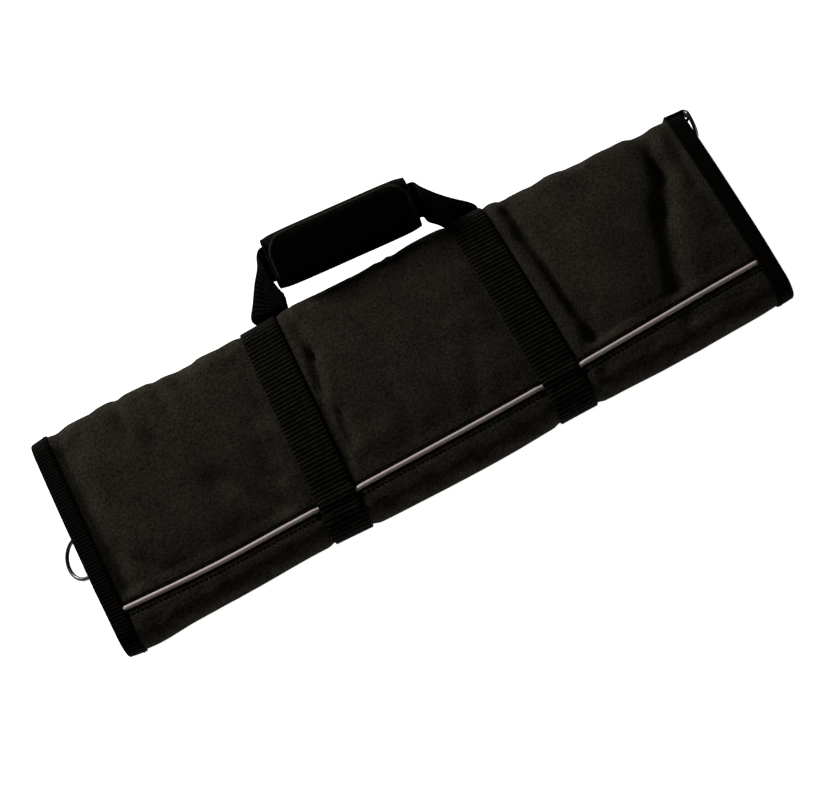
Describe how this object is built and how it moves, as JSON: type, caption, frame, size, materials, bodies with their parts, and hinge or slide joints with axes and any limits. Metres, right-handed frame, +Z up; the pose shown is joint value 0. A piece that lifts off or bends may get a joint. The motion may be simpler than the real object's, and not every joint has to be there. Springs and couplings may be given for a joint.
{
  "type": "chef knife roll",
  "caption": "Long padded cloth roll for kitchen knives, rolled flat, with webbing straps, bound ends, a piped front, a padded carry grip and swinging metal D-rings.",
  "frame": {"origin": "middle of the back, on the surface that the roll rests on", "axes": "+X along the roll's length, +Y towards the side with the handle, +Z up out of the front"},
  "size_m": [0.5093, 0.2038, 0.0594],
  "materials": {
    "roll": "black coated woven fabric over padding",
    "webbing": "black ribbed webbing and tape",
    "piping": "light grey piping",
    "metal": "dark nickel-plated steel wire"
  },
  "bodies": {
    "roll": {"roll_shell": "roll", "binding_left": "webbing", "binding_right": "webbing", "piping": "piping", "strap_left": "webbing", "strap_right": "webbing", "handle_webbing": "webbing", "grip_wrap": "roll", "grip_flap": "roll", "ring_tab_left": "webbing", "ring_tab_right": "webbing"},
    "ring_left": {"d_ring_left": "metal"},
    "ring_right": {"d_ring_right": "metal"}
  },
  "joints": [
    {"name": "left_ring_hinge", "type": "hinge", "parent": "roll", "child": "ring_left", "pos_m": [-0.2434, -0.006, 0.0147], "axis": [0, 1, 0], "range_deg": [0, 90]},
    {"name": "right_ring_hinge", "type": "hinge", "parent": "roll", "child": "ring_right", "pos_m": [0.247, 0.07358, 0.01673], "axis": [0, -0.2563, 0.9666], "range_deg": [-2, 170]}
  ]
}
